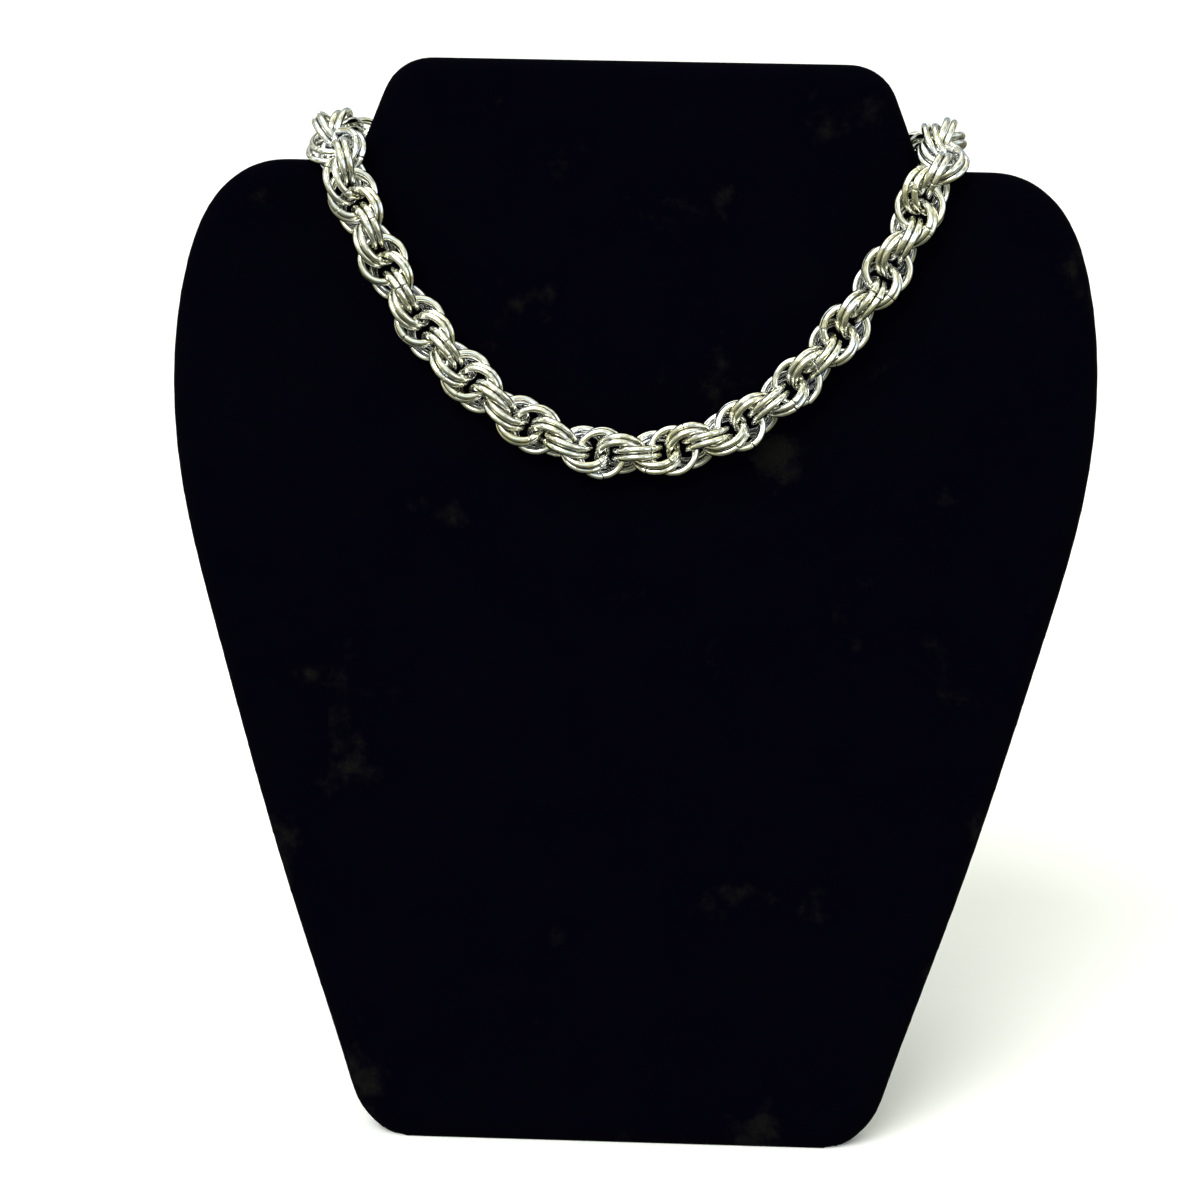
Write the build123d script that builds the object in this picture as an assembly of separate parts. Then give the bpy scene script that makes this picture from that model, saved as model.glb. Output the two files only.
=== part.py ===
from build123d import *
import os
from itertools import count
from math import atan2, cos, hypot, pi, radians, remainder, sin, sqrt, tau
import numpy as np
from scipy.interpolate import CubicSpline
from scipy.optimize import minimize

# Chainmail necklace of doubled jump rings, laid over a padded neck board that leans on an easel leg.
# All lengths are in millimetres and all angles in degrees. +Z is up and the board faces -Y.
# The origin is the centre of the flat face that the board stands on.
# Board coordinates are: across to the right, up along the board, and out of its front face.

# Neck board
BOARD_HEIGHT = 299.2        # along the board, up to the top of the neck
NECK_HEIGHT = 28.8          # the part of it above the shoulders
BOARD_WIDTH = 255.4         # across its widest place
BOARD_THICKNESS = 14.0
BOARD_LEAN = 12.0           # backwards from upright
PADDING_RADIUS = 6.0        # rounding of the padded front and back edges
NECK_ROOT_WIDTH = 156.2     # where the neck meets the shoulders
NECK_TOP_WIDTH = 134.4      # at the top, before its corners are rounded
NECK_CORNER_RADIUS = 14.0
NECK_ROOT_RADIUS = 3.0
BASE_WIDTH = 147.0          # where the rounded bottom corners run into the sides
BASE_CORNER_RADIUS = 22.0
BASE_CORNER_TURN = 72.0     # how far a bottom corner turns up from the bottom edge
FOOT_CUT = 1.5              # how much of the padding's bottom is flattened, along the board

# Side of the board, from above the bottom corner to where the shoulder's top turns level.
# Columns: share of half the board's width, share of the shoulder height
SIDE_OUTLINE = [
    (0.734, 0.268),
    (0.893, 0.514),
    (0.981, 0.678),
    (1.000, 0.785),
    (0.980, 0.883),
    (0.911, 0.965),
    (0.760, 1.000),
]

# Easel leg, a plate bent along its top, whose short flange lies against the board's back
LEG_THICKNESS = 4.0
LEG_TOP_HEIGHT = 205.0      # of its bend, measured along the board
LEG_FLANGE_LENGTH = 45.0
LEG_SPREAD = 30.0           # between the board's back and the leg
LEG_TOP_WIDTH = 50.0
LEG_FOOT_WIDTH = 90.0
LEG_GAP = 0.2               # between the flange and the board

# Chain: pairs of round rings on one axis, each pair turned about the axis from the last
WIRE = 1.9                  # wire diameter
ASPECT_RATIO = 5.4          # inner diameter of a ring, in wire diameters
PITCH_RATIO = 2.55          # distance from pair to pair, in wire diameters
PAIR_TURN = 45.0            # usual turn from one pair to the next
WIRE_CLEARANCE = 0.1        # least space between two rings, and between a ring and the board
REST_GAP = 0.3              # usual space between the chain and the board
PAIR_SHIFT = 0.3            # spread of the pairs' random shift along the axis
TURN_SPREAD = 4.0           # spread of their random turn about it
PAIR_LEAN = 4.0             # spread of their random lean
TWIN_LEAN = 4.0             # spread of the random lean between the two rings of a pair
RANDOM_SEED = 57

# Route of the chain's axis over the front of the board, from the left shoulder to the right.
# Columns: distance to the right of the middle, distance below the top of the shoulders
CHAIN_ROUTE = [
    (-73.7, 19.1),
    (-66.1, 33.2),
    (-57.2, 46.5),
    (-46.5, 58.5),
    (-34.0, 69.0),
    (-15.3, 78.3),
    (6.0, 79.7),
    (26.3, 73.3),
    (43.3, 60.9),
    (57.3, 44.9),
    (67.0, 30.7),
    (74.6, 17.8),
]
SHOULDER_SLANT = 21.0       # the chain climbs outwards at this angle from the board's length
NECK_SPACE = 1.0            # extra space between the chain and the neck's side
BACK_SLACK = 2.2            # how far the chain hangs off the board's back, past its usual space
BACK_SAG = 10.0             # how far the chain sags behind the neck

# Pairs that the front shows nearly edge-on: every fourth one, but for one slower stretch of five.
# Columns: pair, counted to the right from the middle of the front; half turns of the pattern;
# turn beyond them
TURN_MARKS = [
    (-25, 0, -15),
    (-21, 1, -13),
    (-17, 2, -6),
    (-13, 3, -13),
    (-9, 4, -11),
    (-4, 5, 3),
    (0, 6, 3),
    (4, 7, -4),
    (8, 8, -4),
    (12, 9, 15),
    (16, 10, 17),
    (20, 11, 12),
    (24, 12, 0),
]

# Clasp, an S-hook of round wire that lies parallel to the board
CLASP_WIRE = 2.0
CLASP_LOOP_RADIUS = 4.2     # to the middle of the wire
CLASP_ARC = 290.0           # how far each loop goes round

# Settling of the rings, until every wire is clear of its neighbours
AIM_MARGIN = 0.06           # the settling aims for this much more than the least space
WIDENING = (0.45, 0.65, 0.8, 0.9, 0.97, 1)  # aims of the first rounds, as shares of the full distance
MOST_ROUNDS = 24
SETTLE_STEPS = 40           # solver steps in a round
HOLD = 3e-3                 # how strongly a ring stays where a round finds it
RIM_POINTS = 60             # places around a ring where its distances are taken
REACH = 4                   # how many pairs away a ring can meet another
SLOPE_STEP = 1e-4           # how far to each side the board's distance is taken for its slope
NEARLY_ZERO = 1e-9          # least length that a vector is divided by
SAME_PLACE = 0.01           # places of the outline that are nearer than this are the same one
ARC_POINTS = 40
FRONT_POINTS = 1500
BACK_POINTS = 200

SHOULDER_HEIGHT = BOARD_HEIGHT - NECK_HEIGHT
RING_RADIUS = WIRE * (ASPECT_RATIO + 1) / 2
RING_OUTER = WIRE * (ASPECT_RATIO + 2)
PAIR_PITCH = WIRE * PITCH_RATIO
LEAST_DISTANCE = WIRE + WIRE_CLEARANCE
AIM_DISTANCE = LEAST_DISTANCE + AIM_MARGIN
TWIN_SPACING = LEAST_DISTANCE + AIM_MARGIN / 2
NECK_SLOPE = (NECK_ROOT_WIDTH - NECK_TOP_WIDTH) / 2 / NECK_HEIGHT
CHAIN_HALF = RING_OUTER / 2 + REST_GAP
SHOULDER_BEND = CHAIN_HALF + (BOARD_THICKNESS + BACK_SLACK) / 2

LEAN = radians(BOARD_LEAN)
ACROSS = np.array([1.0, 0.0, 0.0])
UP = np.array([0.0, sin(LEAN), cos(LEAN)])
OUT = np.array([0.0, -cos(LEAN), sin(LEAN)])
BOARD_AXES = np.array([ACROSS, UP, OUT])


def corner_near(shape, across, up):
    """Vertices of a flat outline on both sides of its middle, at the given place."""
    return [v for v in shape.vertices() if hypot(abs(v.X) - across, v.Y - up) < SAME_PLACE]


def board_outline():
    turn = radians(BASE_CORNER_TURN)
    bottom = -FOOT_CUT
    corner_start = (BASE_WIDTH / 2 - BASE_CORNER_RADIUS * sin(turn), bottom)
    corner_end = (BASE_WIDTH / 2, bottom + BASE_CORNER_RADIUS * (1 - cos(turn)))
    side = [(share * BOARD_WIDTH / 2, height * SHOULDER_HEIGHT) for share, height in SIDE_OUTLINE]
    neck_root = (NECK_ROOT_WIDTH / 2, SHOULDER_HEIGHT)
    neck_top = (NECK_TOP_WIDTH / 2, BOARD_HEIGHT)
    right = Curve() + [
        Line((0, bottom), corner_start),
        JernArc(corner_start, (1, 0), BASE_CORNER_RADIUS, BASE_CORNER_TURN),
        Spline(corner_end, *side, tangents=[(cos(turn), sin(turn)), (-1, 0)]),
        Line(side[-1], neck_root),
        Line(neck_root, neck_top),
        Line(neck_top, (0, BOARD_HEIGHT)),
    ]
    outline = make_face(right + mirror(right, about=Plane.YZ))
    outline = fillet(corner_near(outline, *neck_top), NECK_CORNER_RADIUS)
    return fillet(corner_near(outline, *neck_root), NECK_ROOT_RADIUS)


def bust_board():
    slab = extrude(board_outline(), -BOARD_THICKNESS)
    levels = slab.edges().group_by(Axis.Z)
    padded = fillet(levels[0] + levels[-1], PADDING_RADIUS)
    padded = Plane(origin=(0, 0, 0), x_dir=tuple(ACROSS), z_dir=tuple(OUT)) * padded
    room = 2 * BOARD_HEIGHT
    return padded - Pos(0, 0, -room / 2) * Box(room, room, room)


def easel_leg():
    """Bent plate: a flange along the board's back and a leg that slants down to the floor."""
    def behind(height, depth):
        point = height * UP - (BOARD_THICKNESS + depth) * OUT
        return point[1], point[2]

    slant = radians(LEG_SPREAD - BOARD_LEAN)
    flange_foot = LEG_TOP_HEIGHT - LEG_FLANGE_LENGTH
    outer = behind(LEG_TOP_HEIGHT, LEG_GAP + LEG_THICKNESS)
    crotch = behind(LEG_TOP_HEIGHT - LEG_THICKNESS / sin(radians(LEG_SPREAD)), LEG_GAP + LEG_THICKNESS)
    profile = [
        behind(flange_foot, LEG_GAP),
        behind(LEG_TOP_HEIGHT, LEG_GAP),
        outer,
        (outer[0] + outer[1] * sin(slant) / cos(slant), 0),
        (crotch[0] + crotch[1] * sin(slant) / cos(slant), 0),
        crotch,
        behind(flange_foot, LEG_GAP + LEG_THICKNESS),
    ]
    plate = extrude(Plane.YZ * make_face(Polyline(*profile, close=True)), LEG_FOOT_WIDTH / 2, both=True)
    height = behind(LEG_TOP_HEIGHT, LEG_GAP)[1]
    foot, top = LEG_FOOT_WIDTH / 2, LEG_TOP_WIDTH / 2
    taper = [(-foot, 0), (foot, 0), (top, height), (-top, height)]
    sides = extrude(Plane.XZ * make_face(Polyline(*taper, close=True)), 2 * BOARD_HEIGHT, both=True)
    return plate & sides


def quarter_arc(start, first, last, radius):
    """Points of a quarter circle that leaves start along one direction and ends along another."""
    angle = np.linspace(0, pi / 2, ARC_POINTS)[:, None]
    return start + radius * (np.sin(angle) * first + (1 - np.cos(angle)) * last)


def chain_axis():
    """Closed run of the chain in board coordinates, from the middle of the back, over the left
    shoulder, along the front, over the right shoulder and back."""
    slant = radians(SHOULDER_SLANT)
    rise = np.array([sin(slant), cos(slant), 0])
    inwards = np.array([0, 0, -1.0])
    crest_height = SHOULDER_HEIGHT + CHAIN_HALF
    beside_neck = (CHAIN_HALF + NECK_SPACE) * hypot(1, NECK_SLOPE)
    crest_across = NECK_ROOT_WIDTH / 2 - NECK_SLOPE * CHAIN_HALF + beside_neck
    crest = np.array([crest_across, crest_height, CHAIN_HALF - SHOULDER_BEND])
    climb = crest - SHOULDER_BEND * (rise + inwards)

    fall_slope = atan2(2 * BACK_SAG, crest_across - SHOULDER_BEND)
    fall = np.array([-cos(fall_slope), -sin(fall_slope), 0])
    behind = crest + SHOULDER_BEND * (fall + inwards)
    share = np.linspace(0, 1, BACK_POINTS)[:, None]
    middle = behind - np.array([behind[0], BACK_SAG, 0])
    back = middle + share * np.array([behind[0], 0, 0]) + share**2 * np.array([0, BACK_SAG, 0])

    over = quarter_arc(crest, inwards, fall, SHOULDER_BEND)[::-1]
    down = quarter_arc(climb, rise, inwards, SHOULDER_BEND)[::-1]
    right_side = np.vstack([back[:-1], over[:-1], down])
    flip = np.array([-1, 1, 1])

    route = [(across, SHOULDER_HEIGHT - below, CHAIN_HALF) for across, below in CHAIN_ROUTE]
    posts = np.vstack([climb * flip, route, climb])
    lengths = run_lengths(posts)
    curve = CubicSpline(lengths, posts, bc_type=((1, -rise * flip), (1, rise)))
    front = curve(np.linspace(0, lengths[-1], FRONT_POINTS))
    return np.vstack([right_side * flip, front[1:-1], right_side[::-1]])


def run_lengths(points):
    return np.r_[0, np.cumsum(np.linalg.norm(np.diff(points, axis=0), axis=1))]


def unit(vectors):
    return vectors / np.linalg.norm(vectors, axis=-1, keepdims=True)


def turned(vectors, turns):
    """Vectors turned by rotation vectors, whose lengths are angles in radians."""
    angle = np.linalg.norm(turns, axis=1, keepdims=True)
    axis = turns / np.maximum(angle, NEARLY_ZERO)
    along = axis * (axis * vectors).sum(1, keepdims=True)
    return vectors * np.cos(angle) + np.cross(axis, vectors) * np.sin(angle) + along * (1 - np.cos(angle))


def carried_reference(directions):
    """A direction across the axis that starts as the board's front at mid-length and never twists."""
    reference = np.zeros_like(directions)
    middle = len(directions) // 2
    reference[middle] = (0, 0, 1)
    for order in (range(middle + 1, len(directions)), range(middle - 1, -1, -1)):
        last = reference[middle]
        for i in order:
            last = unit(last - (last @ directions[i]) * directions[i])
            reference[i] = last
    return reference


def clasp_reach():
    """Distance from the clasp's middle to the centre of the pair of rings that it holds."""
    hold = CLASP_LOOP_RADIUS - (WIRE + CLASP_WIRE) / 2 - WIRE_CLEARANCE - AIM_MARGIN
    return CLASP_LOOP_RADIUS + sqrt(hold**2 - (TWIN_SPACING / 2) ** 2) + RING_RADIUS


def pair_turns(pairs, across, reference):
    """Turn of each pair about the axis, in radians. Towards the clasp it is eased a little, so that
    the pair on each hook stands square to it."""
    numbers = np.arange(pairs) - pairs // 2
    marked = [number for number, _, _ in TURN_MARKS]
    turns = [pi * half_turns + radians(beyond) for _, half_turns, beyond in TURN_MARKS]
    start = turns[0] - radians(PAIR_TURN) * (marked[0] - numbers[0])
    end = turns[-1] + radians(PAIR_TURN) * (numbers[-1] - marked[-1])
    square_start, square_end = (atan2(across[i][2], reference[i][2]) for i in (0, -1))
    start += remainder(square_start - start, pi)
    end += remainder(square_end - end, pi)
    return np.interp(numbers, [numbers[0], *marked, numbers[-1]], [start, *turns, end])[:, None]


def unevenness(random, spread, shape):
    """Random values for the pairs, one row each, with none for the two pairs on the clasp."""
    values = random.normal(0, spread, shape)
    values[[0, -1]] = 0
    return values


def ideal_pairs():
    """Centres and axes of all rings, two for each pair, by the pattern and a little unevenness."""
    random = np.random.default_rng(RANDOM_SEED)
    points = chain_axis()
    lengths = run_lengths(points)
    directions = unit(np.gradient(points, lengths, axis=0))
    references = carried_reference(directions)
    room = lengths[-1] - 2 * clasp_reach()
    pairs = 2 * round((room / PAIR_PITCH + 1) / 2)
    stations = clasp_reach() + np.linspace(0, room, pairs) + unevenness(random, PAIR_SHIFT, pairs)

    def at_stations(values):
        return np.stack([np.interp(stations, lengths, column) for column in values.T], 1)

    centre, along = at_stations(points), unit(at_stations(directions))
    reference = at_stations(references)
    reference = unit(reference - (reference * along).sum(1, keepdims=True) * along)
    across = np.cross(along, reference)
    turn = pair_turns(pairs, across, reference) + unevenness(random, radians(TURN_SPREAD), (pairs, 1))
    axis = np.cross(along, np.cos(turn) * reference + np.sin(turn) * across)
    lean = unevenness(random, radians(PAIR_LEAN), axis.shape)
    split = unevenness(random, radians(TWIN_LEAN) / 2, axis.shape)
    centres = np.stack([centre + side * axis * TWIN_SPACING / 2 for side in (-1, 1)], 1)
    axes = np.stack([turned(axis, lean + side * split) for side in (-1, 1)], 1)
    return centres.reshape(-1, 3), axes.reshape(-1, 3), np.repeat(np.arange(pairs), 2)


def board_distance(points):
    """Distance of points from the padded board near its neck, less than zero inside it."""
    across, up, out = np.moveaxis(points, -1, 0)
    above = up - SHOULDER_HEIGHT
    beside = (np.abs(across) - NECK_ROOT_WIDTH / 2 + NECK_SLOPE * above) / hypot(1, NECK_SLOPE)
    outline = np.minimum(beside, above) + PADDING_RADIUS
    depth = np.abs(out + BOARD_THICKNESS / 2) - BOARD_THICKNESS / 2 + PADDING_RADIUS
    outside = np.hypot(np.maximum(outline, 0), np.maximum(depth, 0))
    return outside + np.minimum(np.maximum(outline, depth), 0) - PADDING_RADIUS


def board_push(points):
    """Direction straight away from the board at each point."""
    steps = SLOPE_STEP * np.eye(3)
    rises = [board_distance(points + step) - board_distance(points - step) for step in steps]
    return np.stack(rises, 1) / (2 * SLOPE_STEP)


def rims(axes):
    """Points around each ring's wire, measured from its centre."""
    angle = np.linspace(0, tau, RIM_POINTS, endpoint=False)[None, :, None]
    least_along = np.eye(3)[np.abs(axes).argmin(1)]
    first = unit(np.cross(axes, least_along))
    second = np.cross(axes, first)
    return RING_RADIUS * (np.cos(angle) * first[:, None] + np.sin(angle) * second[:, None])


def wire_distance(points, centres, axes):
    """Distance from points to the middle of a ring's wire, and the nearest place on it."""
    offset = points - centres
    height = (offset * axes).sum(-1, keepdims=True)
    nearest = centres + RING_RADIUS * unit(offset - height * axes)
    return np.linalg.norm(points - nearest, axis=-1), nearest


def gathered(values, owners, count):
    """Sum of the rows of values that belong to each owner."""
    return np.stack([np.bincount(owners, column, count) for column in values.T], 1)


def settled(centres, axes, pair_of):
    """Rings eased apart, in small moves, until each wire clears the others and the board.
    The first and last pairs stay where they are, on the clasp."""
    free = ((pair_of != pair_of[0]) & (pair_of != pair_of[-1]))[:, None]
    pair_gap = np.abs(pair_of[:, None] - pair_of)
    one, other = np.nonzero((pair_gap <= REACH) & ~np.eye(len(pair_of), dtype=bool))
    for rounds in count():
        aim = AIM_DISTANCE * WIDENING[min(rounds, len(WIDENING) - 1)]
        arms = rims(axes)
        rim_points = centres[:, None] + arms
        distance, _ = wire_distance(rim_points[one], centres[other][:, None], axes[other][:, None])
        above_board = board_distance(rim_points) - WIRE / 2
        clear = distance.min() > LEAST_DISTANCE and above_board.min() > WIRE_CLEARANCE
        if clear or rounds > MOST_ROUNDS:
            break
        near, place = np.nonzero(distance < aim + WIRE / 4)
        here, there, arm = one[near], other[near], arms[one[near], place]
        low, low_place = np.nonzero(above_board < WIRE / 2)
        low_arm = arms[low, low_place]

        def crowding(moves):
            """How much the wires are too close, and how that changes with each ring's moves."""
            shift, turn = moves.reshape(2, -1, 3) * free
            turn = turn / RING_RADIUS
            new_centres, new_axes = centres + shift, turned(axes, turn)

            reach = turned(arm, turn[here])
            points = new_centres[here] + reach
            apart, nearest = wire_distance(points, new_centres[there], new_axes[there])
            short = np.maximum(0, aim - apart)[:, None]
            push = -2 * short * (points - nearest) / np.maximum(apart, NEARLY_ZERO)[:, None]
            slopes = gathered(push, here, len(axes)) - gathered(push, there, len(axes))
            lever = np.cross(nearest - new_centres[there], push)
            twists = gathered(np.cross(reach, push), here, len(axes)) - gathered(lever, there, len(axes))

            low_reach = turned(low_arm, turn[low])
            low_points = new_centres[low] + low_reach
            sunk = np.maximum(0, WIRE / 2 + 2 * WIRE_CLEARANCE - board_distance(low_points))[:, None]
            lift = -2 * sunk * board_push(low_points)
            slopes += gathered(lift, low, len(axes))
            twists += gathered(np.cross(low_reach, lift), low, len(axes))

            total = (short**2).sum() + (sunk**2).sum() + HOLD * (moves**2).sum()
            change = np.stack([slopes, twists / RING_RADIUS]) * free
            return total, change.ravel() + 2 * HOLD * moves

        options = {"maxiter": SETTLE_STEPS}
        found = minimize(crowding, np.zeros(2 * centres.size), jac=True, method="L-BFGS-B", options=options)
        shift, turn = found.x.reshape(2, -1, 3) * free
        centres, axes = centres + shift, turned(axes, turn / RING_RADIUS)
    print(f"{len(axes)} rings, nearest wires {distance.min() - WIRE:.3f} mm apart")
    return centres, axes


def chain():
    centres, axes = settled(*ideal_pairs())
    ring = Torus(RING_RADIUS, WIRE / 2)
    places = zip(centres @ BOARD_AXES, axes @ BOARD_AXES)
    return [Plane(origin=tuple(centre), z_dir=tuple(axis)) * ring for centre, axis in places]


def clasp():
    """S-hook at the middle of the back: two open loops of one wire, with rounded tips."""
    section = Plane.XZ * Circle(CLASP_WIRE / 2)
    loop = revolve(section, Axis((CLASP_LOOP_RADIUS, 0, 0), (0, 0, 1)), CLASP_ARC)
    tip_angle = pi + radians(CLASP_ARC)
    tip = CLASP_LOOP_RADIUS * (1 + cos(tip_angle)), CLASP_LOOP_RADIUS * sin(tip_angle)
    half = loop + Pos(*tip) * Sphere(CLASP_WIRE / 2)
    middle = chain_axis()[0] @ BOARD_AXES
    place = Plane(origin=tuple(middle), x_dir=tuple(ACROSS), z_dir=tuple(OUT))
    return place * (half + Rot(0, 0, 180) * half)


def main():
    board = bust_board()
    foot = board.faces().filter_by(GeomType.PLANE).sort_by(Axis.Z)[0].center()
    to_origin = Pos(0, -foot.Y, 0)
    parts = {
        "bust_board": [board],
        "easel_leg": [easel_leg()],
        "chain": chain(),
        "clasp": [clasp()],
    }
    os.makedirs("parts", exist_ok=True)
    for name, shapes in parts.items():
        solids = [solid for shape in shapes for solid in (to_origin * shape).solids()]
        export_step(Compound(solids) if len(solids) > 1 else solids[0], f"parts/{name}.step")
        print(name, len(solids), "solids,", round(sum(solid.volume for solid in solids)), "mm3")


main()
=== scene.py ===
from math import cos, radians, sin, tau

import bmesh
import bpy
import numpy as np
from mathutils import Matrix, Vector, bvhtree, kdtree, noise


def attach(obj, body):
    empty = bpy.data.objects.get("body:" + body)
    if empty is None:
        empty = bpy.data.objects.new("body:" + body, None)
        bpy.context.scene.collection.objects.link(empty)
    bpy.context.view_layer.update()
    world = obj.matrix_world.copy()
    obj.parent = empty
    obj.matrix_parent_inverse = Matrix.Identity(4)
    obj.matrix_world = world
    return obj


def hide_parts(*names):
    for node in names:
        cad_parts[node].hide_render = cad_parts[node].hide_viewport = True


# Looks of the chainmail necklace on its neck bust. Lengths are in metres, +Z is up, and the bust faces
# towards -Y.

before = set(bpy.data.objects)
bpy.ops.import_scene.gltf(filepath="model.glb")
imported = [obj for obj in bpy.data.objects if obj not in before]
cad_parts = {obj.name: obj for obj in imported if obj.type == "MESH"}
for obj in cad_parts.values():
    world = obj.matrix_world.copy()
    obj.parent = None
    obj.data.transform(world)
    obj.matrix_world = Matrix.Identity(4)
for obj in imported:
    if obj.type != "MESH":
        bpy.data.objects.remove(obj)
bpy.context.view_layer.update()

SEED = 7

# Camera, as the photograph was taken
CAMERA_AZIMUTH = 1.58       # degrees, towards +X from straight in front
CAMERA_HEIGHT = 12.9        # degrees above level
CAMERA_ROLL = 1.03          # degrees that the object appears turned clockwise
CAMERA_DISTANCE = 0.85
CAMERA_AIM = (0.0, 0.0221, 0.150)
AIM_SHIFT = (-0.00753, -0.00244)     # of the aim, across and up in the picture
FOCAL_SHARE = 2.583         # focal length, in widths of the picture

# Rings
WIRE_RADIUS = 0.00095
RING_RADIUS = 0.00608       # to the middle of the wire
RING_STEPS = 96             # faces along a ring's wire
WIRE_STEPS = 18             # faces around its section
CHAIN_PIECES = 4
POINT_DECIMALS = 7          # points that agree to this many decimals are one
SAME_RING = 1e-6            # centres nearer than this are of one and the same ring
NEAR_RING = 3 * RING_RADIUS          # rings with centres farther apart than this are not close
CREVICE_REACH = 0.0006      # a wire is painted darker, as shade, where another is nearer than this
CREVICE_SHADE_MARK = "crevice"    # mesh attribute for that painted shade, 1 where they touch

# Saw cuts of the rings
SEAM_WIDTH = (0.00010, 0.00032)      # narrowest and widest
SEAM_ROUNDING = 0.00012     # length of the rounding at a cut end
SEAM_STEP = 0.00026         # how far each cut end stands off the ring's line, at most
SEAM_STEP_SHARE = (0.2, 1.0)         # least and greatest share of it
SEAM_CLEARANCE = 0.0001     # space left beside a cut end that stands off
SEAM_BEND = radians(26)     # how much of the ring bends for it, on each side of the cut
SEAM_ROOM = 0.0002          # space around the wire where a cut is let in
SEAM_WINDOW = 3             # steps to each side of the cut that need this space
ROOM_STEPS = 60             # places around a ring where its space is measured

# Rounding of a cut end. Columns: share of the rounding's length, share of the wire's radius
SEAM_ENDS = [
    (0.0, 0.88),
    (0.25, 0.95),
    (0.6, 0.985),
]

# Board and leg
BOARD_LEAN = radians(12)
BOARD_UP = np.array([0, sin(BOARD_LEAN), cos(BOARD_LEAN)])
BOARD_OUT = np.array([0, -cos(BOARD_LEAN), sin(BOARD_LEAN)])
BOARD_THICKNESS = 0.014
SHOULDER_UP = 0.2688        # of the shoulders' top, along the board
VOXEL = 0.0018              # size of the board's faces
SAME_CORNER = 1e-6          # corners nearer than this are merged
BACK_SHARE = 0.6            # places deeper than this share of the thickness are on the back
BACKING_MARGIN = 0.010      # width of the velvet turned over onto the back
BACKING_EDGE = 0.0006       # width of the step at the lining's edge
BACKING_MARK = "lining"     # mesh attribute: how far inside the lining a place is
DENT_DEPTH = 0.00022
DENT_LEVEL = 0.8            # unevenness at which the velvet lies at its full height
DENT_FADE = 0.008           # dents fade out over this distance towards the rim
DENT_WAVES = [(28, 1.0), (70, 0.5)]  # columns: waves in a metre, share
FLAT_ANGLE = radians(1)     # faces of the leg that differ less are one flat
LEG_ROUNDING = 0.0008
LEG_ROUNDING_STEPS = 3
ROUND_PROFILE = 0.5         # of a bevel whose section is an arc

# Colours of the steels. Columns: bare metal, metal under the warm film
STEELS = {
    "ring_steel_look": ((0.80, 0.81, 0.83), (0.765, 0.755, 0.60)),
    "clasp_steel_look": ((0.76, 0.77, 0.74), (0.68, 0.67, 0.52)),
}
STEEL_SURFACE = {"Metallic": 1.0}
# Painted shade: the steel's colour where another wire lies close
CREVICE_SHADE_COLOUR = (0.05, 0.047, 0.04)
WIRE_LINES = (14, 26, 1)    # waves of the drawn wire's fine lines: along a ring and around its wire

# Colours of the cloths. Columns: pile, crushed pile with its sheen painted in as a lighter colour,
# woven cloth
CLOTHS = {
    "velvet_look": ((0.0003, 0.0002, 0.0016), (0.007, 0.0067, 0.005), (0.012, 0.012, 0.013)),
    "leg_look": ((0.0003, 0.0002, 0.0016), (0.006, 0.006, 0.005), (0.016, 0.016, 0.017)),
}
CLOTH_SURFACE = {
    "Specular IOR Level": 0.012,
    "Sheen Weight": 0.008,
    "Sheen Roughness": 0.35,
    "Sheen Tint": (0.55, 0.57, 0.7, 1.0),
}
WEAVE = {"Scale": 350, "Distortion": 0.6, "Detail": 1.0, "Detail Scale": 2.0}
WEAVE_SHADE = 0.4           # brightness of the woven cloth between its threads, as a share

# Noises of the looks. Columns: scale, detail, roughness
NOISES = {
    "film": (160, 3, 0.5),              # patches of film on the steel
    "smudges": (420, 3, 0.5),           # duller places on the steel
    "scratches": (900, 2, 0.5),         # on the clasp
    "wire_lines": (1.0, 2, 0.5),        # on the chain's drawn wire
    "patches": (38, 5, 0.62),           # how the pile lies
    "fibres": (2600, 2, 0.6),           # of the pile
    "stage": (3, 4, 0.5),
    "studio_things": (3.4, 2, 0.5),     # light and dark things around the object
    "studio_tints": (1.7, 1, 0.5),      # warm and cool parts of the studio
}

# Smooth steps from one value to another. Columns: begins at, ends at, result before, result after
STEPS = {
    "film": (0.30, 0.70, 0.2, 1.0),             # from noise to film
    "handled": (0.003, 0.011, 0.15, 1.0),       # from metres off the board to film
    "own_film": (0.0, 1.0, -0.3, 0.3),          # from a ring's random number to extra film
    "film_share": (0.0, 1.0, 0.0, 1.0),         # keeps the sum of both from 0 to 1
    "crevice": (0.05, 0.75, 0.0, 0.9),          # from the crevice mark to painted shade between wires
    "smudges": (0.3, 0.75, 0.05, 0.11),         # from noise to the steel's roughness
    "crushed_sheen": (0.60, 0.74, 0.0, 1.0),          # from noise to crushed pile, whose sheen is painted in as a lighter colour
    "lined": (0.0, BACKING_EDGE, 0.0, 1.0),     # from metres inside the lining to woven cloth
    "worn": (0.3, 0.7, 0.7, 1.0),               # from noise to brightness of the woven cloth
    "cloth_roughness": (0.3, 0.7, 0.82, 1.0),   # from noise to the cloth's roughness
    "studio_behind": (-0.1, 0.6, 1.0, 0.5),     # from the direction's Y to brightness
    "studio_things": (0.35, 0.54, 0.34, 1.34),  # from noise to brightness
    "studio_tints": (0.40, 0.60, 0.0, 1.0),     # from noise to share of the second tint
}

# Reliefs of the looks. Columns: strength, height
RELIEFS = {
    "steel": (0.10, 0.00003),           # scratches or fine lines
    "lie_of_pile": (0.35, 0.0015),
    "lining_edge": (0.6, 0.0004),
    "grain": (0.5, 0.00025),            # fibres or threads
}

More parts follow.
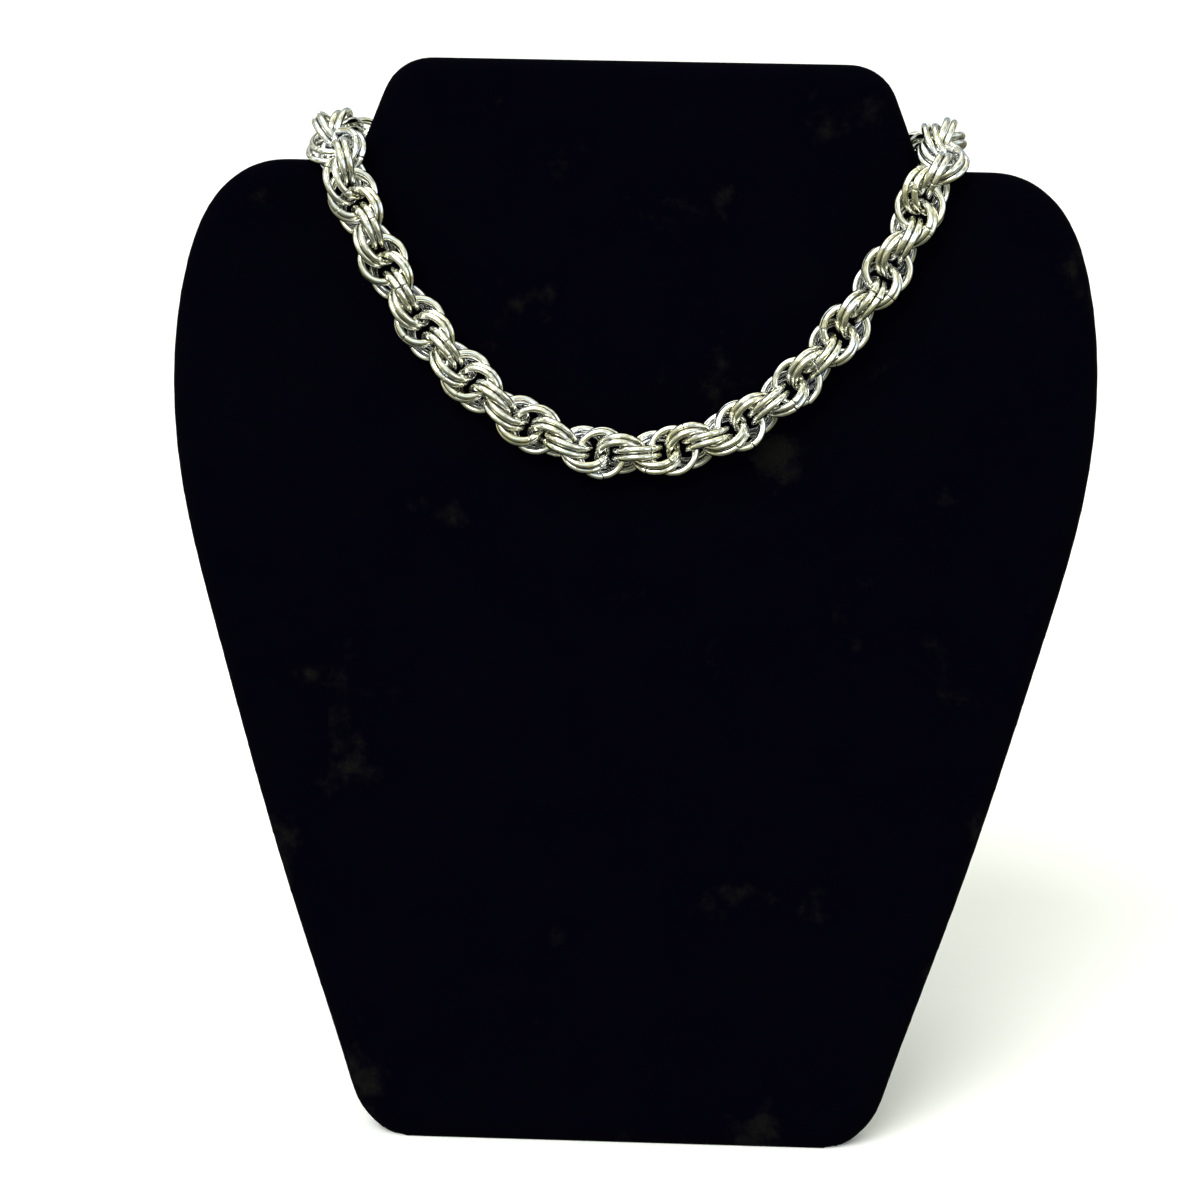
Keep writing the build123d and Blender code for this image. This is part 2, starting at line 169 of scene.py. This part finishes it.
# Stage: a pale floor and a pale dome round it
STAGE_SIZE = 12.0           # from the middle to the edge
STAGE_TONES = (0.97, 0.97, 0.97), (0.99, 0.99, 0.99)
FLOOR_SURFACE = {"Roughness": 0.9}
BACKDROP_SIZE = 0.95        # in stage sizes
BACKDROP_STEPS = (48, 24)   # faces around and upwards
BACKDROP_SURFACE = {"Roughness": 0.9, "Base Color": (0, 0, 0, 1), "Emission Strength": 1.0}
BACKDROP_UNSEEN_BY = ("diffuse", "glossy", "transmission", "volume_scatter", "shadow")

# Lights, which all point at one place in the object
LIGHT_AIM = (0, 0, 0.15)
KEY_PLACE = (-0.45, -1.0, 1.05)
KEY_SPREAD = 40             # degrees across
KEY_POWER = 2.9
KEY_COLOUR = (1.0, 1.0, 0.985)

# Columns: name, place, size across and up, power in watts, colour
SOFTBOXES = [
    ("fill", (0.95, -0.80, 0.45), (0.5, 0.9), 1.8, (0.98, 0.99, 1.0)),
    ("top", (-0.1, 0.25, 1.20), (1.0, 0.5), 2.0, (1.0, 1.0, 1.0)),
]

# Colours of the studio around the object. Columns: height above level in degrees, colour
SURROUNDINGS = [
    (-50, (0.13, 0.13, 0.08)),
    (-12, (0.35, 0.36, 0.26)),
    (0, (0.74, 0.76, 0.65)),
    (14, (1.02, 1.05, 0.98)),
    (30, (0.80, 0.82, 0.70)),
    (50, (1.02, 1.05, 0.97)),
    (75, (0.80, 0.82, 0.70)),
]
STUDIO_TINTS = (1.07, 1.01, 0.80), (0.89, 1.0, 1.22)     # warm and cool


# Objects and meshes

def add_object(name, data):
    piece = bpy.data.objects.new(name, data)
    bpy.context.scene.collection.objects.link(piece)
    return piece


def mesh_points(mesh):
    points = np.empty(3 * len(mesh.vertices))
    mesh.vertices.foreach_get("co", points)
    return points.reshape(-1, 3)


def mark(mesh, name, values):
    """Writes a value at each point of the mesh, which the materials read by its name."""
    mesh.attributes.new(name, "FLOAT", "POINT").data.foreach_set("value", values)


def smooth(piece):
    piece.data.polygons.foreach_set("use_smooth", np.ones(len(piece.data.polygons), dtype=bool))
    piece.data.update()


def solid_copy(name, source, edit=None):
    """A new object with the mesh of a CAD solid, its double corners merged, and then edited."""
    piece = add_object(name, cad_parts[source].data.copy())
    piece.data.materials.clear()
    shape = bmesh.new()
    shape.from_mesh(piece.data)
    bmesh.ops.remove_doubles(shape, verts=shape.verts, dist=SAME_CORNER)
    if edit is not None:
        edit(shape)
    shape.to_mesh(piece.data)
    shape.free()
    return piece


# Materials

def node(tree, kind, inputs=None, **settings):
    """A new shader node. Its inputs are other nodes' outputs or plain values."""
    made = tree.nodes.new(kind)
    for key, value in settings.items():
        setattr(made, key, value)
    for key, value in (inputs or {}).items():
        if isinstance(value, bpy.types.NodeSocket):
            tree.links.new(value, made.inputs[key])
        else:
            made.inputs[key].default_value = value
    return made


def noise_value(tree, where, name, stretch=None):
    scale, detail, roughness = NOISES[name]
    if stretch is not None:
        where = node(tree, "ShaderNodeMapping", {"Vector": where, "Scale": stretch}).outputs["Vector"]
    inputs = {"Vector": where, "Scale": scale, "Detail": detail, "Roughness": roughness}
    return node(tree, "ShaderNodeTexNoise", inputs).outputs["Fac"]


def stepped(tree, value, name):
    low, high, out_low, out_high = STEPS[name]
    inputs = {"Value": value, "From Min": low, "From Max": high, "To Min": out_low, "To Max": out_high}
    made = node(tree, "ShaderNodeMapRange", inputs, interpolation_type="SMOOTHSTEP")
    return made.outputs["Result"]


def mixed(tree, share, first, second, blend="MIX"):
    made = node(tree, "ShaderNodeMix", data_type="RGBA", blend_type=blend)
    for key, value in (("Factor_Float", share), ("A_Color", first), ("B_Color", second)):
        socket = next(s for s in made.inputs if s.identifier == key)
        if isinstance(value, bpy.types.NodeSocket):
            tree.links.new(value, socket)
        else:
            socket.default_value = value if isinstance(value, float) else (*value, 1.0)
    return next(s for s in made.outputs if s.identifier == "Result_Color")


def reckoned(tree, operation, first, second=0.0):
    made = node(tree, "ShaderNodeMath", {0: first, 1: second}, operation=operation)
    return made.outputs["Value"]


def relief(tree, height, name, normal=None):
    strength, distance = RELIEFS[name]
    inputs = {"Height": height, "Strength": strength, "Distance": distance}
    if normal is not None:
        inputs["Normal"] = normal
    return node(tree, "ShaderNodeBump", inputs).outputs["Normal"]


def marked(tree, name):
    return node(tree, "ShaderNodeAttribute", attribute_name=name).outputs["Fac"]


def new_material(name, surface):
    material = bpy.data.materials.new(name)
    material.use_nodes = True
    tree = material.node_tree
    shader = tree.nodes["Principled BSDF"]
    for socket, value in surface.items():
        shader.inputs[socket].default_value = value
    return material, tree, shader


def reach(tree, where, direction):
    """How far a place lies in a direction."""
    inputs = {0: where, 1: direction}
    return node(tree, "ShaderNodeVectorMath", inputs, operation="DOT_PRODUCT").outputs["Value"]


def handled(tree, where, board_front):
    """Share of the film that is on the chain: little next to the board, most away from it and above
    its shoulders, and more on some rings than on others."""
    middle = board_front - BOARD_THICKNESS / 2
    depth = reckoned(tree, "SUBTRACT", reach(tree, where, BOARD_OUT), middle)
    depth = reckoned(tree, "SUBTRACT", reckoned(tree, "ABSOLUTE", depth), BOARD_THICKNESS / 2)
    above = reckoned(tree, "SUBTRACT", reach(tree, where, BOARD_UP), SHOULDER_UP)
    film = stepped(tree, reckoned(tree, "MAXIMUM", depth, above), "handled")
    own = node(tree, "ShaderNodeNewGeometry").outputs["Random Per Island"]
    film = reckoned(tree, "ADD", film, stepped(tree, own, "own_film"))
    return stepped(tree, film, "film_share")


def steel(name, board_front=None):
    """Bright polished steel with patches of warm film, and with shade painted dark into its crevices
    between wires. The chain's is given the place of the board's front, which its film depends on, and
    shows the fine lines of drawn wire."""
    bare, filmed = STEELS[name]
    material, tree, shader = new_material(name, STEEL_SURFACE)
    places = node(tree, "ShaderNodeTexCoord").outputs
    where = places["Object"]
    film = stepped(tree, noise_value(tree, where, "film"), "film")
    if board_front is None:
        height = noise_value(tree, where, "scratches")
    else:
        film = reckoned(tree, "MULTIPLY", film, handled(tree, where, board_front))
        height = noise_value(tree, places["UV"], "wire_lines", stretch=WIRE_LINES)
    # Painted shade: the steel is darkened where another wire lies close
    painted_crevice_shade = stepped(tree, marked(tree, CREVICE_SHADE_MARK), "crevice")
    colour = mixed(tree, painted_crevice_shade, mixed(tree, film, bare, filmed), CREVICE_SHADE_COLOUR)
    roughness = stepped(tree, noise_value(tree, where, "smudges"), "smudges")
    tree.links.new(colour, shader.inputs["Base Color"])
    tree.links.new(roughness, shader.inputs["Roughness"])
    tree.links.new(relief(tree, height, "steel"), shader.inputs["Normal"])
    return material


def threads(tree, where):
    """Height of a plain weave, half of it from each of its two sets of threads."""
    sets = []
    for direction in "XZ":
        waves = node(tree, "ShaderNodeTexWave", {"Vector": where, **WEAVE}, bands_direction=direction)
        sets.append(reckoned(tree, "MULTIPLY", waves.outputs["Fac"], 0.5))
    return reckoned(tree, "ADD", *sets)


def cloth(name):
    """Black velvet: short pile that lies in crushed patches, whose sheen is painted in as a lighter
    colour. Where the mesh is marked as lined it is a plain woven cloth instead."""
    pile, crushed_sheen, woven = CLOTHS[name]
    material, tree, shader = new_material(name, CLOTH_SURFACE)
    where = node(tree, "ShaderNodeTexCoord").outputs["Object"]
    patches = noise_value(tree, where, "patches")
    fibres = noise_value(tree, where, "fibres")
    weave = threads(tree, where)
    lined = stepped(tree, marked(tree, BACKING_MARK), "lined")
    # Painted sheen: where the pile lies crushed it is given a lighter colour
    painted_sheen_share = reckoned(tree, "MULTIPLY", stepped(tree, patches, "crushed_sheen"), fibres)
    weave_share = reckoned(tree, "MULTIPLY", weave, stepped(tree, patches, "worn"))
    velvet_colour = mixed(tree, painted_sheen_share, pile, crushed_sheen)
    lining_colour = mixed(tree, weave_share, [WEAVE_SHADE * value for value in woven], woven)
    colour = mixed(tree, lined, velvet_colour, lining_colour)
    normal = relief(tree, patches, "lie_of_pile")
    normal = relief(tree, lined, "lining_edge", normal)
    normal = relief(tree, mixed(tree, lined, fibres, weave), "grain", normal)
    tree.links.new(colour, shader.inputs["Base Color"])
    tree.links.new(stepped(tree, patches, "cloth_roughness"), shader.inputs["Roughness"])
    tree.links.new(normal, shader.inputs["Normal"])
    return material


def pale(name, surface, socket):
    """A plain pale look, whose tone goes to the named socket of the shader."""
    material, tree, shader = new_material(name, surface)
    where = node(tree, "ShaderNodeTexCoord").outputs["Object"]
    tone = mixed(tree, noise_value(tree, where, "stage"), *STAGE_TONES)
    tree.links.new(tone, shader.inputs[socket])
    return material


# Chain

def islands(mesh):
    """For each vertex, the lowest vertex number of the connected piece that it is on."""
    edges = np.empty(2 * len(mesh.edges), dtype=int)
    mesh.edges.foreach_get("vertices", edges)
    one, other = edges.reshape(-1, 2).T
    label = np.arange(len(mesh.vertices))
    while True:
        lower = np.minimum(label[one], label[other])
        fresh = label.copy()
        np.minimum.at(fresh, one, lower)
        np.minimum.at(fresh, other, lower)
        fresh = fresh[fresh]
        if (fresh == label).all():
            return label
        label = fresh


def ring_places(mesh):
    """Centres and axes of the round rings of the CAD chain, in order along it."""
    points = mesh_points(mesh)
    label = islands(mesh)
    centres, axes = [], []
    for start in np.unique(label):
        ring = np.unique(points[label == start].round(POINT_DECIMALS), axis=0)
        centre = ring.mean(0)
        centres.append(centre)
        axes.append(np.linalg.svd(ring - centre, full_matrices=False)[2][2])
    return np.array(centres), np.array(axes)


def ring_frame(axis):
    """Two directions square to a ring's axis and to each other."""
    first = np.cross(axis, np.eye(3)[np.abs(axis).argmin()])
    first /= np.linalg.norm(first)
    return first, np.cross(axis, first)


def nearest_wire(points, centre, centres, axes):
    """Distance from each point on the ring at a centre to the middle of the nearest other wire."""
    apart = np.linalg.norm(centres - centre, axis=1)
    near = (apart > SAME_RING) & (apart < NEAR_RING)
    offset = points[:, None] - centres[near]
    height = (offset * axes[near]).sum(-1)
    flat = np.linalg.norm(offset - height[..., None] * axes[near], axis=-1)
    return np.hypot(flat - RING_RADIUS, height).min(1)


def ring_rooms(centres, axes, board):
    """For each ring, the space between its wire and whatever is nearest, at even steps around it."""
    angle = np.linspace(0, tau, ROOM_STEPS, endpoint=False)[:, None]
    rooms = []
    for centre, axis in zip(centres, axes):
        first, second = ring_frame(axis)
        points = centre + RING_RADIUS * (np.cos(angle) * first + np.sin(angle) * second)
        room = nearest_wire(points, centre, centres, axes) - 2 * WIRE_RADIUS
        above = np.array([board.find_nearest(Vector(point))[3] for point in points]) - WIRE_RADIUS
        rooms.append(np.minimum(room, above))
    return rooms


def seam_place(room, rng):
    """Angle of a ring's saw cut, somewhere with space for it, and the space there."""
    window = range(-SEAM_WINDOW, SEAM_WINDOW + 1)
    around = np.min([np.roll(room, shift) for shift in window], axis=0)
    fitting = np.nonzero(around > SEAM_ROOM)[0]
    chosen = rng.choice(fitting) if len(fitting) else around.argmax()
    return chosen * tau / ROOM_STEPS, around[chosen]


def ring_shape(rng, room):
    """One sawn ring about +Z, cut at +X: its points, row by row along the wire."""
    cut = rng.uniform(*SEAM_WIDTH) / 2 / RING_RADIUS
    rounding = SEAM_ROUNDING / RING_RADIUS
    ends, shrink = np.array(SEAM_ENDS).T
    ends = ends * rounding
    middle_rows = RING_STEPS + 1 - 2 * len(SEAM_ENDS)
    middle = np.linspace(cut + rounding, tau - cut - rounding, middle_rows)
    along = np.concatenate([cut + ends, middle, tau - cut - ends[::-1]])
    width = np.concatenate([shrink, np.ones(middle_rows), shrink[::-1]]) * WIRE_RADIUS
    step = min(SEAM_STEP, max(room - SEAM_CLEARANCE, 0)) * rng.uniform(*SEAM_STEP_SHARE)
    first_end = np.clip(1 - along / SEAM_BEND, 0, 1) ** 2
    last_end = np.clip(1 - (tau - along) / SEAM_BEND, 0, 1) ** 2
    tilt = rng.uniform(0, tau)
    rise = step * sin(tilt) * (first_end - last_end)
    radius = RING_RADIUS + step * cos(tilt) * (first_end - last_end)
    around = np.linspace(0, tau, WIRE_STEPS, endpoint=False)
    out = radius[:, None] + width[:, None] * np.cos(around)
    up = rise[:, None] + width[:, None] * np.sin(around)
    points = np.stack([out * np.cos(along)[:, None], out * np.sin(along)[:, None], up], -1)
    return points.reshape(-1, 3)


def tube_faces(rows, columns):
    """Faces and their texture places for a tube of rows of points, closed around, with capped ends."""
    row, column = np.meshgrid(np.arange(rows - 1), np.arange(columns), indexing="ij")
    after = (column + 1) % columns
    quads = np.stack([row * columns + column, row * columns + after,
                      (row + 1) * columns + after, (row + 1) * columns + column], -1).reshape(-1, 4)
    u = np.stack([row, row, row + 1, row + 1], -1).reshape(-1, 4) / (rows - 1)
    v = np.stack([column, column + 1, column + 1, column], -1).reshape(-1, 4) / columns
    caps = [tuple(range(columns))[::-1], tuple(range((rows - 1) * columns, rows * columns))]
    return quads, np.stack([u, v], -1), caps


def chain_piece(name, share, centres, axes, rooms, rng):
    """One object with the rings of the given numbers."""
    rows = RING_STEPS + 1
    quads, texture, caps = tube_faces(rows, WIRE_STEPS)
    cap_texture = np.zeros((2 * WIRE_STEPS, 2))
    points, faces, coordinates, crevice_shades = [], [], [], []
    for number, ring in enumerate(share):
        centre, axis = centres[ring], axes[ring]
        first, second = ring_frame(axis)
        spin, space = seam_place(rooms[ring], rng)
        turned = np.stack([cos(spin) * first + sin(spin) * second,
                           cos(spin) * second - sin(spin) * first,
                           axis])
        points.append(centre + ring_shape(rng, space) @ turned)
        # Painted shade: how close the nearest other wire is, for darkening the steel there
        gap = nearest_wire(points[-1], centre, centres, axes) - WIRE_RADIUS
        crevice_shades.append(np.clip(1 - gap / CREVICE_REACH, 0, 1))
        start = number * rows * WIRE_STEPS
        faces += (quads + start).tolist() + [[start + corner for corner in cap] for cap in caps]
        coordinates += [(texture + (number, 0)).reshape(-1, 2), cap_texture]
    mesh = bpy.data.meshes.new(name)
    mesh.from_pydata(np.vstack(points).tolist(), [], faces)
    mesh.uv_layers.new(name="wire").data.foreach_set("uv", np.vstack(coordinates).ravel())
    mark(mesh, CREVICE_SHADE_MARK, np.hstack(crevice_shades))
    piece = add_object(name, mesh)
    smooth(piece)
    return piece


def make_chain():
    rng = np.random.default_rng(SEED)
    centres, axes = ring_places(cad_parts["chain"].data)
    cad_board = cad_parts["bust_board"]
    board = bvhtree.BVHTree.FromObject(cad_board, bpy.context.evaluated_depsgraph_get())
    rooms = ring_rooms(centres, axes, board)
    board_front = (mesh_points(cad_board.data) @ BOARD_OUT).max()
    shiny = steel("ring_steel_look", board_front)
    for number, share in enumerate(np.array_split(np.arange(len(centres)), CHAIN_PIECES)):
        piece = chain_piece(f"rings_{number + 1}", share, centres, axes, rooms, rng)
        piece.data.materials.append(shiny)
        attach(piece, "root")
        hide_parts("chain")


def dress_clasp():
    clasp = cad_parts["clasp"]
    clasp.data.materials.clear()
    clasp.data.materials.append(steel("clasp_steel_look"))


# Board and leg

def even_faces(piece):
    """Gives the piece a mesh of small even faces."""
    remesh = piece.modifiers.new("even", "REMESH")
    remesh.mode = "VOXEL"
    remesh.voxel_size = VOXEL
    graph = bpy.context.evaluated_depsgraph_get()
    mesh = bpy.data.meshes.new_from_object(piece.evaluated_get(graph))
    piece.modifiers.clear()
    piece.data = mesh


def distance_inside(flat, rim):
    """How far each place is from the nearest place on the rim, seen square to the board."""
    tree = kdtree.KDTree(len(rim))
    for number, (across, up) in enumerate(rim):
        tree.insert((across, up, 0), number)
    tree.balance()
    return np.array([tree.find((across, up, 0))[2] for across, up in flat])


def unevenness(point):
    return sum(share * noise.noise(Vector(point) * waves) for waves, share in DENT_WAVES)


def make_board():
    board = solid_copy("velvet_board", "bust_board")
    even_faces(board)
    points = mesh_points(board.data)
    out = points @ BOARD_OUT
    out -= out.max()
    from_middle = out + BOARD_THICKNESS / 2
    flat = np.stack([points[:, 0], points @ BOARD_UP], 1)
    inside = distance_inside(flat, flat[np.abs(from_middle) < VOXEL])
    on_back = out < -BACK_SHARE * BOARD_THICKNESS
    lining = np.where(on_back, inside - BACKING_MARGIN, -BACKING_MARGIN)
    uneven = np.array([unevenness(point) for point in points])
    dent = DENT_DEPTH * (uneven - DENT_LEVEL) * np.clip(inside / DENT_FADE, 0, 1) * (lining < 0)
    points += dent[:, None] * np.sign(from_middle)[:, None] * BOARD_OUT
    points[:, 2] = np.maximum(points[:, 2], 0)
    board.data.vertices.foreach_set("co", points.ravel())
    mark(board.data, BACKING_MARK, lining)
    smooth(board)
    board.data.materials.append(cloth("velvet_look"))
    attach(board, "root")
    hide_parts("bust_board")


def round_edges(shape):
    """Joins the faces that make one flat, and rounds all edges that are left."""
    bmesh.ops.dissolve_limit(shape, angle_limit=FLAT_ANGLE, verts=shape.verts, edges=shape.edges)
    bmesh.ops.bevel(shape, geom=shape.edges[:], offset=LEG_ROUNDING, segments=LEG_ROUNDING_STEPS,
                    profile=ROUND_PROFILE, affect="EDGES")


def make_leg():
    leg = solid_copy("covered_leg", "easel_leg", round_edges)
    smooth(leg)
    mark(leg.data, BACKING_MARK, np.ones(len(leg.data.vertices)))
    leg.data.materials.append(cloth("leg_look"))
    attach(leg, "root")
    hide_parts("easel_leg")


# Stage

def make_floor():
    mesh = bpy.data.meshes.new("floor")
    corners = [(-STAGE_SIZE, -STAGE_SIZE, 0), (STAGE_SIZE, -STAGE_SIZE, 0),
               (STAGE_SIZE, STAGE_SIZE, 0), (-STAGE_SIZE, STAGE_SIZE, 0)]
    mesh.from_pydata(corners, [], [(0, 1, 2, 3)])
    mesh.materials.append(pale("floor_look", FLOOR_SURFACE, "Base Color"))
    floor = add_object("floor", mesh)
    floor.visible_glossy = False     # the steel mirrors the studio instead


def make_backdrop():
    """Pale dome round the stage, which only the camera sees."""
    mesh = bpy.data.meshes.new("backdrop")
    around, upwards = BACKDROP_STEPS
    shape = bmesh.new()
    bmesh.ops.create_uvsphere(shape, u_segments=around, v_segments=upwards,
                              radius=BACKDROP_SIZE * STAGE_SIZE)
    shape.to_mesh(mesh)
    shape.free()
    mesh.materials.append(pale("backdrop_look", BACKDROP_SURFACE, "Emission Color"))
    backdrop = add_object("backdrop", mesh)
    for ray in BACKDROP_UNSEEN_BY:
        setattr(backdrop, f"visible_{ray}", False)


def make_surroundings():
    """Uneven surroundings, bright in front and darker behind, which the steel reflects."""
    world = bpy.data.worlds.new("studio")
    bpy.context.scene.world = world
    world.use_nodes = True
    tree = world.node_tree
    direction = node(tree, "ShaderNodeTexCoord").outputs["Generated"]
    parts = node(tree, "ShaderNodeSeparateXYZ", {"Vector": direction}).outputs
    height = node(tree, "ShaderNodeMapRange", {"Value": parts["Z"], "From Min": -1.0, "From Max": 1.0})
    colours = node(tree, "ShaderNodeValToRGB", {"Fac": height.outputs["Result"]})
    stops = colours.color_ramp.elements
    for number, (degrees, colour) in enumerate(SURROUNDINGS):
        place = (sin(radians(degrees)) + 1) / 2
        stop = stops[number] if number < len(stops) else stops.new(place)
        stop.position = place
        stop.color = (*colour, 1.0)
    things = stepped(tree, noise_value(tree, direction, "studio_things"), "studio_things")
    behind = stepped(tree, parts["Y"], "studio_behind")
    tints = stepped(tree, noise_value(tree, direction, "studio_tints"), "studio_tints")
    tint = mixed(tree, tints, *STUDIO_TINTS)
    colour = mixed(tree, 1.0, colours.outputs["Color"], tint, "MULTIPLY")
    background = tree.nodes["Background"]
    tree.links.new(colour, background.inputs["Color"])
    tree.links.new(reckoned(tree, "MULTIPLY", things, behind), background.inputs["Strength"])


def point_from(light, place):
    """Turns a light as if it stood at a place."""
    light.rotation_euler = (Vector(LIGHT_AIM) - Vector(place)).to_track_quat("-Z", "Y").to_euler()


def make_lights():
    key = bpy.data.lights.new("key", "SUN")
    key.energy = KEY_POWER
    key.angle = radians(KEY_SPREAD)
    key.color = KEY_COLOUR
    point_from(add_object("key", key), KEY_PLACE)
    for name, place, (width, height), power, colour in SOFTBOXES:
        data = bpy.data.lights.new(name, "AREA")
        data.shape = "RECTANGLE"
        data.size = width
        data.size_y = height
        data.energy = power
        data.color = colour
        light = add_object(name, data)
        light.location = place
        point_from(light, place)


def make_camera():
    azimuth, height, roll = radians(CAMERA_AZIMUTH), radians(CAMERA_HEIGHT), radians(CAMERA_ROLL)
    back = Vector((sin(azimuth) * cos(height), -cos(azimuth) * cos(height), sin(height)))
    level_right = Vector((0, 0, 1)).cross(back).normalized()
    level_up = back.cross(level_right)
    right = level_right * cos(roll) + level_up * sin(roll)
    up = level_up * cos(roll) - level_right * sin(roll)
    place = Vector(CAMERA_AIM) + back * CAMERA_DISTANCE
    target = Vector(CAMERA_AIM) + right * AIM_SHIFT[0] + up * AIM_SHIFT[1]
    back = (place - target).normalized()
    right = up.cross(back).normalized()
    up = back.cross(right)
    data = bpy.data.cameras.new("camera")
    data.lens = FOCAL_SHARE * data.sensor_width
    camera = add_object("camera", data)
    camera.matrix_world = Matrix.Translation(place) @ Matrix([right, up, back]).transposed().to_4x4()
    bpy.context.scene.camera = camera


make_camera()
make_chain()
make_board()
make_leg()
dress_clasp()
make_floor()
make_backdrop()
make_surroundings()
make_lights()
bpy.context.scene.view_settings.view_transform = "Standard"
